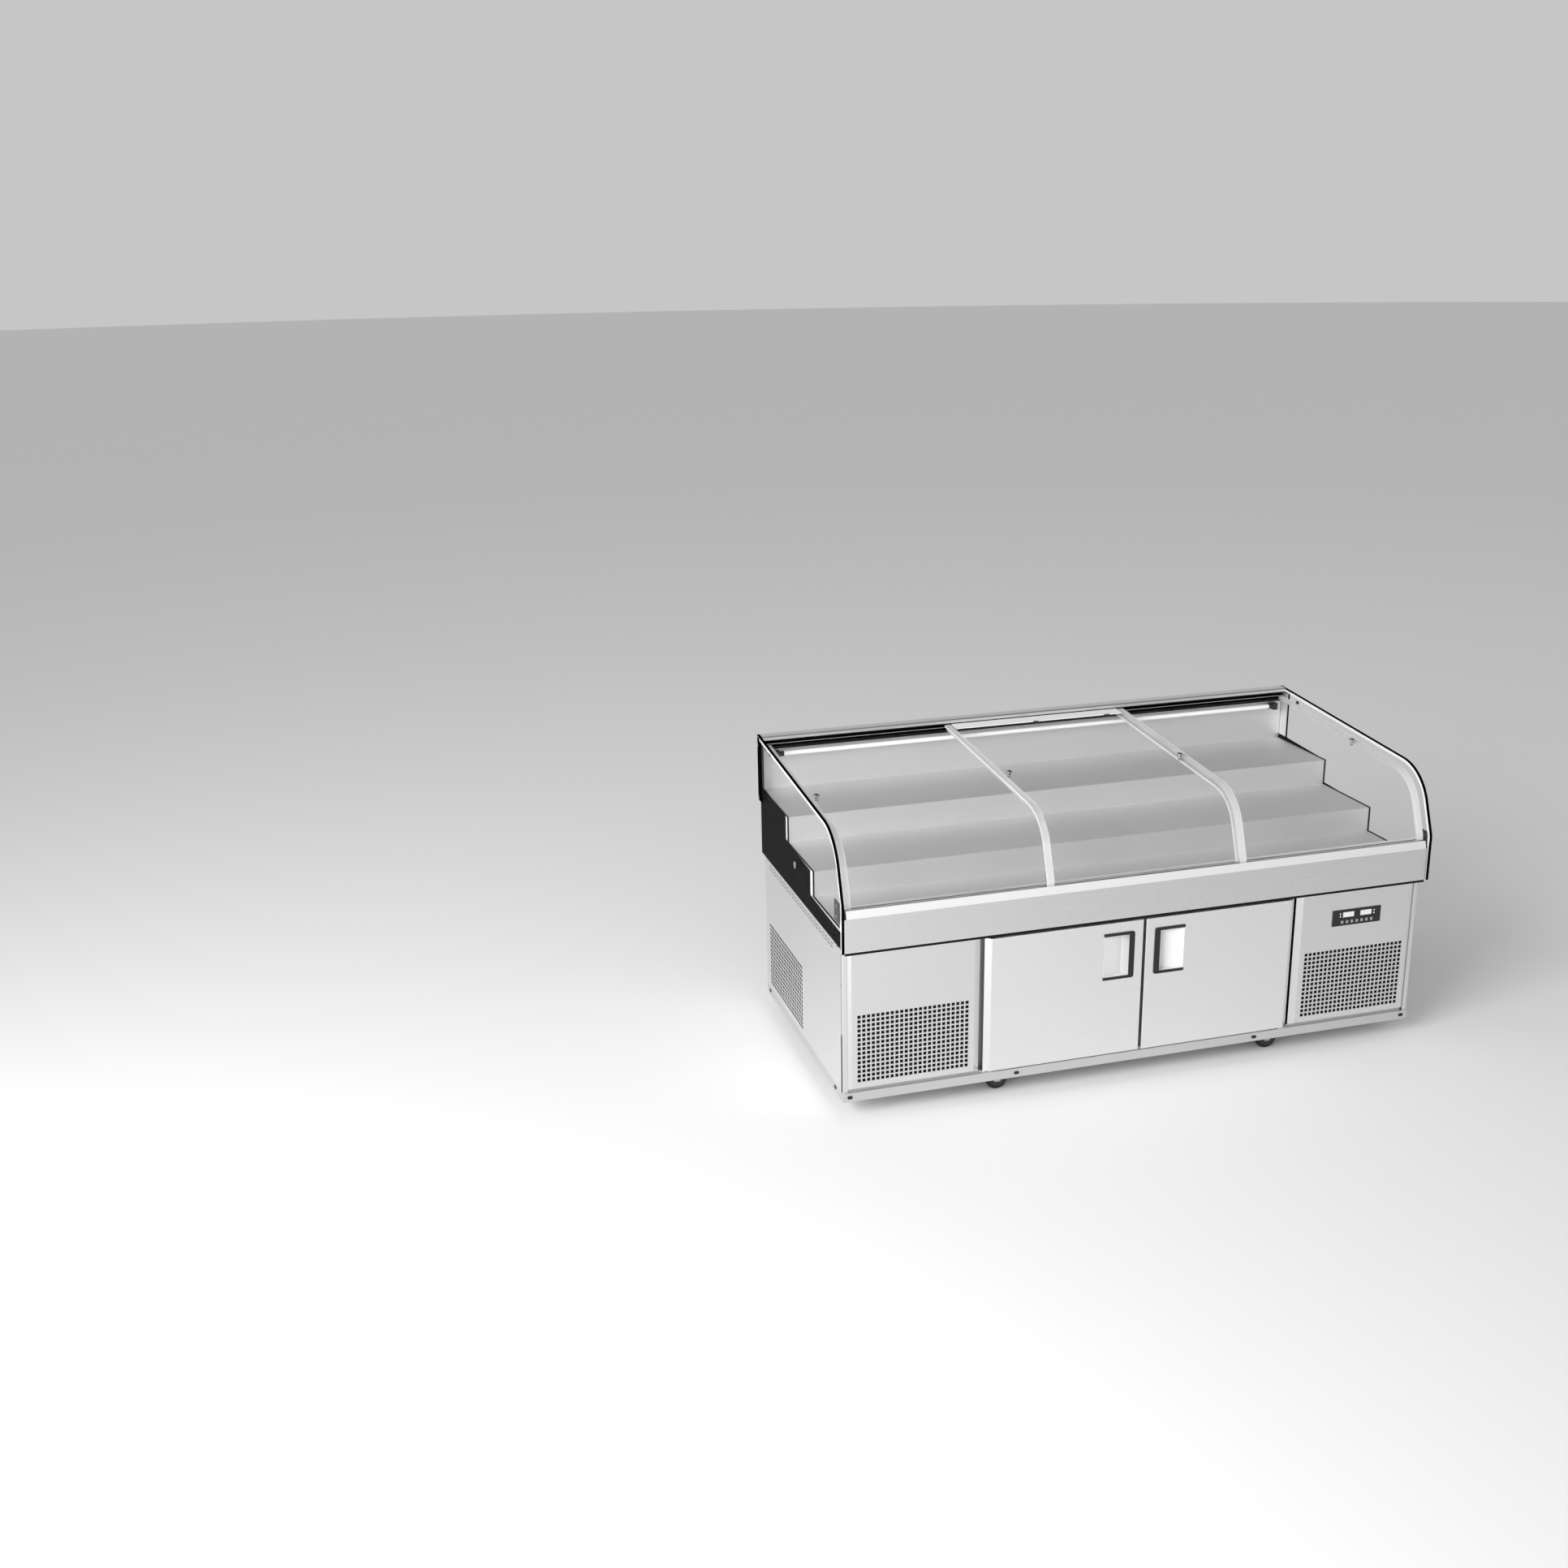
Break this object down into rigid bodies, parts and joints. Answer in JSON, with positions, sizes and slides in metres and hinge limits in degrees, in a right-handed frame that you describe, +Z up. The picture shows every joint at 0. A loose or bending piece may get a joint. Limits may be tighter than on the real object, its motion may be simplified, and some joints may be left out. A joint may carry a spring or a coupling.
{
  "type": "refrigerated display counter",
  "caption": "Low display counter with a stepped chilled bed under curved sliding glass, perforated machine panels and a cold store behind hinged doors.",
  "frame": {"origin": "on the floor, at the middle of the overall length and depth", "axes": "+Z up, +Y to the back of the counter, +X to the right as seen from the front"},
  "size_m": [2.008, 0.941, 0.99],
  "materials": {
    "chrome": "polished",
    "controller": "dark moulded case with a printed film",
    "controller_window": "lit window and pale keys",
    "dark_print": "black ceramic print and edge band",
    "door_liner": "white moulded tray",
    "end_clamp": "dark grey moulded end",
    "fan": "dark moulded blades",
    "foamed_body": "foamed body skinned in sheet",
    "gasket": "grey bellows gasket",
    "glass": "clear tempered glass",
    "lamp": "frosted tube",
    "lamp_end": "black moulded holder",
    "machinery": "black enamel, bare fins",
    "plug": "black push-in plug",
    "pocket": "light moulded cup",
    "pull": "black moulded pull",
    "seal": "black rubber strip",
    "stainless": "brushed stainless sheet, satin",
    "stainless_frame": "folded stainless rail",
    "stainless_liner": "smooth stainless sheet",
    "store_lining": "foamed body with an aluminium lining",
    "track": "black extruded channel",
    "tyre": "black rubber tyre on a grey hub",
    "wire": "coated wire",
    "zinc": "zinc-plated pressed steel"
  },
  "bodies": {
    "cabinet": {"base_frame": "stainless_frame", "side_panel_left": "stainless", "side_panel_right": "stainless", "rear_panel": "stainless", "grille_panel_left": "stainless", "grille_panel_right": "stainless", "storage_box": "store_lining", "door_mullion": "stainless", "wire_shelf": "wire", "door_hinges": "zinc", "tub_body": "foamed_body", "step_liner": "stainless_liner", "front_fascia": "stainless", "fascia_seal": "seal", "side_glass_left": "glass", "side_glass_right": "glass", "side_mask_left": "dark_print", "side_mask_right": "dark_print", "glass_bolts": "chrome", "rear_top_rail": "stainless", "upper_track": "track", "front_rail": "stainless", "front_rail_ends": "end_clamp", "rear_wall": "stainless", "lamp_tube": "lamp", "lamp_holders": "lamp_end", "controller": "controller", "controller_keys": "controller_window", "condensing_unit_left": "machinery", "condensing_unit_right": "machinery", "cable_gland": "plug", "rail_plugs": "plug", "castor_plates": "zinc"},
    "door_left": {"door_left_shell": "stainless", "door_left_liner": "door_liner", "door_left_gasket": "gasket", "door_left_handle": "pull", "door_left_pocket": "pocket"},
    "door_right": {"door_right_shell": "stainless", "door_right_liner": "door_liner", "door_right_gasket": "gasket", "door_right_handle": "pull", "door_right_pocket": "pocket"},
    "pane_left": {"sliding_glass_left": "glass", "knob_left": "chrome"},
    "pane_middle": {"sliding_glass_middle": "glass", "knobs_middle": "chrome"},
    "pane_right": {"sliding_glass_right": "glass", "knob_right": "chrome"},
    "swivel_front_left": {"castor_fork_front_left": "zinc"},
    "wheel_front_left": {"castor_wheel_front_left": "tyre"},
    "swivel_front_right": {"castor_fork_front_right": "zinc"},
    "wheel_front_right": {"castor_wheel_front_right": "tyre"},
    "swivel_rear_left": {"castor_fork_rear_left": "zinc"},
    "wheel_rear_left": {"castor_wheel_rear_left": "tyre"},
    "swivel_rear_right": {"castor_fork_rear_right": "zinc"},
    "wheel_rear_right": {"castor_wheel_rear_right": "tyre"},
    "blades_left": {"fan_left": "fan"},
    "blades_right": {"fan_right": "fan"}
  },
  "joints": [
    {"name": "door_left_hinge", "type": "hinge", "parent": "cabinet", "child": "door_left", "pos_m": [-0.518, -0.435, 0.323], "axis": [0, 0, -1], "range_deg": [0, 100]},
    {"name": "door_right_hinge", "type": "hinge", "parent": "cabinet", "child": "door_right", "pos_m": [0.518, -0.435, 0.323], "axis": [0, 0, 1], "range_deg": [0, 100]},
    {"name": "pane_left_slide", "type": "slide", "parent": "cabinet", "child": "pane_left", "axis": [1, 0, 0], "range_m": [0, 0.305]},
    {"name": "pane_middle_slide", "type": "slide", "parent": "cabinet", "child": "pane_middle", "axis": [1, 0, 0], "range_m": [-0.575, 0.575]},
    {"name": "pane_right_slide", "type": "slide", "parent": "cabinet", "child": "pane_right", "axis": [1, 0, 0], "range_m": [-0.305, 0]},
    {"name": "castor_front_left_swivel", "type": "hinge", "parent": "cabinet", "child": "swivel_front_left", "pos_m": [-0.48, -0.378, 0.085], "axis": [0, 0, 1], "continuous": true},
    {"name": "castor_front_left_roll", "type": "hinge", "parent": "swivel_front_left", "child": "wheel_front_left", "pos_m": [-0.462, -0.378, 0.036], "axis": [0, 1, 0], "continuous": true},
    {"name": "castor_front_right_swivel", "type": "hinge", "parent": "cabinet", "child": "swivel_front_right", "pos_m": [0.48, -0.378, 0.085], "axis": [0, 0, 1], "continuous": true},
    {"name": "castor_front_right_roll", "type": "hinge", "parent": "swivel_front_right", "child": "wheel_front_right", "pos_m": [0.498, -0.378, 0.036], "axis": [0, 1, 0], "continuous": true},
    {"name": "castor_rear_left_swivel", "type": "hinge", "parent": "cabinet", "child": "swivel_rear_left", "pos_m": [-0.48, 0.371, 0.085], "axis": [0, 0, 1], "continuous": true},
    {"name": "castor_rear_left_roll", "type": "hinge", "parent": "swivel_rear_left", "child": "wheel_rear_left", "pos_m": [-0.462, 0.371, 0.036], "axis": [0, 1, 0], "continuous": true},
    {"name": "castor_rear_right_swivel", "type": "hinge", "parent": "cabinet", "child": "swivel_rear_right", "pos_m": [0.48, 0.371, 0.085], "axis": [0, 0, 1], "continuous": true},
    {"name": "castor_rear_right_roll", "type": "hinge", "parent": "swivel_rear_right", "child": "wheel_rear_right", "pos_m": [0.498, 0.371, 0.036], "axis": [0, 1, 0], "continuous": true},
    {"name": "fan_left_spin", "type": "hinge", "parent": "cabinet", "child": "blades_left", "pos_m": [-0.7635, -0.314, 0.225], "axis": [0, 1, 0], "continuous": true},
    {"name": "fan_right_spin", "type": "hinge", "parent": "cabinet", "child": "blades_right", "pos_m": [0.7635, -0.314, 0.225], "axis": [0, 1, 0], "continuous": true}
  ]
}
